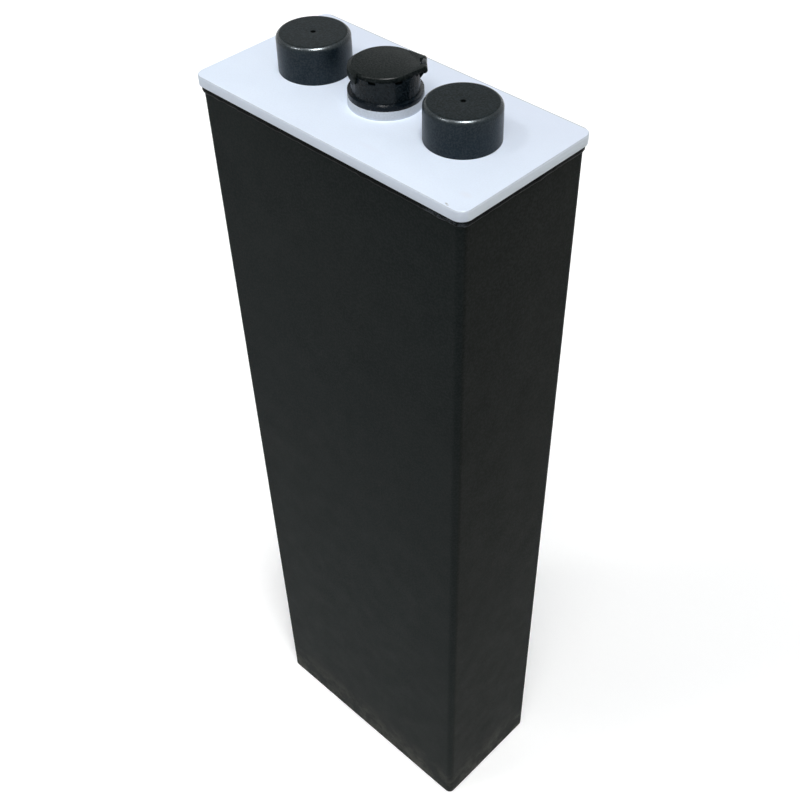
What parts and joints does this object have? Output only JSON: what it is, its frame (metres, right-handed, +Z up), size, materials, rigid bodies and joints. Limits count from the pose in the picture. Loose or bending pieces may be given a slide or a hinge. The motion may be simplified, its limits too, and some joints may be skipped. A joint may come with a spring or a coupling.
{
  "type": "traction battery cell",
  "caption": "Tall slim lead-acid traction cell with a black container, pale welded lid, pull-off terminal caps and a bayonet vent plug with a hinged flip lid.",
  "frame": {"origin": "middle of the container's underside, on the surface that the cell stands on", "axes": "+Z up, +X along the cell's long side towards the positive pole, +Y across the stack of plates"},
  "size_m": [0.198, 0.1, 0.6018],
  "materials": {
    "container_black": "black moulded polypropylene, satin",
    "lid_pale": "pale grey moulded polypropylene, satin",
    "cap_black": "black moulded plastic, semi-gloss",
    "plug_grey": "dark moulded plastic, semi-gloss",
    "flip_lid_grey": "dark grey moulded plastic, matte",
    "lead": "dull cast lead",
    "brass": "machined brass",
    "gauntlet_cloth": "woven polyester tube filled with brown lead oxide",
    "bar_plastic": "moulded plastic",
    "negative_mass": "grey spongy lead paste",
    "separator_grey": "microporous sheet"
  },
  "bodies": {
    "cell": {"container": "container_black", "cell_lid": "lid_pale", "positive_threaded_insert": "brass", "positive_strap_post": "lead", "negative_threaded_insert": "brass", "negative_strap_post": "lead", "element_protector": "separator_grey", "positive_grid_1": "lead", "gauntlet_1": "gauntlet_cloth", "bottom_bar_1": "bar_plastic", "positive_grid_2": "lead", "gauntlet_2": "gauntlet_cloth", "bottom_bar_2": "bar_plastic", "positive_grid_3": "lead", "gauntlet_3": "gauntlet_cloth", "bottom_bar_3": "bar_plastic", "positive_grid_4": "lead", "gauntlet_4": "gauntlet_cloth", "bottom_bar_4": "bar_plastic", "positive_grid_5": "lead", "gauntlet_5": "gauntlet_cloth", "bottom_bar_5": "bar_plastic", "negative_plate_1": "negative_mass", "negative_plate_2": "negative_mass", "negative_plate_3": "negative_mass", "negative_plate_4": "negative_mass", "negative_plate_5": "negative_mass", "negative_plate_6": "negative_mass", "separator_1": "separator_grey", "separator_2": "separator_grey", "separator_3": "separator_grey", "separator_4": "separator_grey", "separator_5": "separator_grey", "separator_6": "separator_grey", "separator_7": "separator_grey", "separator_8": "separator_grey", "separator_9": "separator_grey", "separator_10": "separator_grey"},
    "vent_plug": {"vent_plug_body": "plug_grey"},
    "vent_lid": {"vent_flip_lid": "flip_lid_grey"},
    "positive_cap": {"positive_terminal_cap": "cap_black"},
    "negative_cap": {"negative_terminal_cap": "cap_black"}
  },
  "joints": [
    {"name": "vent_plug_turn", "type": "hinge", "parent": "cell", "child": "vent_plug", "pos_m": [0, 0, 0.58], "axis": [0, 0, 1], "range_deg": [0, 60]},
    {"name": "vent_lid_flip", "type": "hinge", "parent": "vent_plug", "child": "vent_lid", "pos_m": [0.01421, 0.01421, 0.6001], "axis": [-0.7071, 0.7071, 0], "range_deg": [0, 100]},
    {"name": "positive_cap_pull", "type": "slide", "parent": "cell", "child": "positive_cap", "axis": [0, 0, 1], "range_m": [0, 0.04]},
    {"name": "negative_cap_pull", "type": "slide", "parent": "cell", "child": "negative_cap", "axis": [0, 0, 1], "range_m": [0, 0.04]}
  ]
}
